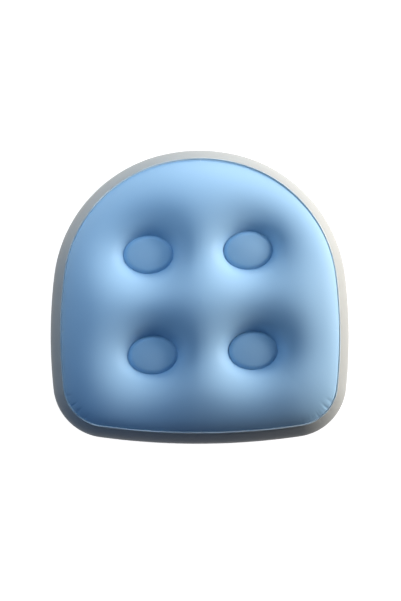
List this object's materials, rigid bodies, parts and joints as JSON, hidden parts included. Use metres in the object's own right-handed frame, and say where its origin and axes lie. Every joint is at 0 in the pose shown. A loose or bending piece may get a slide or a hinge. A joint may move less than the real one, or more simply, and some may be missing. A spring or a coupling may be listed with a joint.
{
  "type": "bath pillow",
  "caption": "D-shaped inflatable bath pillow with dimpled blue face, grey side wall, air valve and suction cups that hold it to the tub.",
  "frame": {"origin": "middle of the pillow's outline, at the level of the suction cups' rims", "axes": "+Z from the suction cups up to the blue face, +Y towards the round end, +X to the right as seen from the face"},
  "size_m": [0.38, 0.375, 0.1064],
  "materials": {
    "face_sheet": "satin blue vinyl sheet",
    "wall_sheet": "satin grey vinyl sheet",
    "column_sheet": "satin vinyl sheet, inside",
    "tab_vinyl": "moulded vinyl, satin",
    "cup_vinyl": "clear soft vinyl, glossy",
    "valve_vinyl": "clear soft vinyl, glossy"
  },
  "bodies": {
    "cushion": {"face_panel": "face_sheet", "side_wall": "wall_sheet", "back_panel": "wall_sheet", "column_upper_left": "column_sheet", "column_upper_right": "column_sheet", "column_lower_left": "column_sheet", "column_lower_right": "column_sheet", "cup_tab_upper_left": "tab_vinyl", "cup_tab_upper_right": "tab_vinyl", "cup_tab_lower_left": "tab_vinyl", "cup_tab_lower_right": "tab_vinyl", "valve_base": "valve_vinyl"},
    "stem": {"valve_stem": "valve_vinyl"},
    "plug": {"valve_plug": "valve_vinyl"},
    "flap": {"check_flap": "valve_vinyl"},
    "cup_upper_left": {"suction_cup_upper_left": "cup_vinyl"},
    "cup_upper_right": {"suction_cup_upper_right": "cup_vinyl"},
    "cup_lower_left": {"suction_cup_lower_left": "cup_vinyl"},
    "cup_lower_right": {"suction_cup_lower_right": "cup_vinyl"}
  },
  "joints": [
    {"name": "stem_slide", "type": "slide", "parent": "cushion", "child": "stem", "axis": [0, 0, -1], "range_m": [0, 0.0075]},
    {"name": "plug_hinge", "type": "hinge", "parent": "stem", "child": "plug", "pos_m": [-0.00725, -0.0095, 0.0132], "axis": [0, 1, 0], "range_deg": [0, 175]},
    {"name": "flap_hinge", "type": "hinge", "parent": "stem", "child": "flap", "pos_m": [-0.0057, -0.0095, 0.0357], "axis": [0, -1, 0], "range_deg": [0, 40], "stiffness_Nm_per_rad": 0.00005},
    {"name": "swivel_upper_left", "type": "hinge", "parent": "cushion", "child": "cup_upper_left", "pos_m": [-0.08, 0.1065, 0.016], "axis": [0, 0, 1], "continuous": true},
    {"name": "swivel_upper_right", "type": "hinge", "parent": "cushion", "child": "cup_upper_right", "pos_m": [0.08, 0.1065, 0.016], "axis": [0, 0, 1], "continuous": true},
    {"name": "swivel_lower_left", "type": "hinge", "parent": "cushion", "child": "cup_lower_left", "pos_m": [-0.116, -0.1115, 0.016], "axis": [0, 0, 1], "continuous": true},
    {"name": "swivel_lower_right", "type": "hinge", "parent": "cushion", "child": "cup_lower_right", "pos_m": [0.116, -0.1115, 0.016], "axis": [0, 0, 1], "continuous": true}
  ]
}
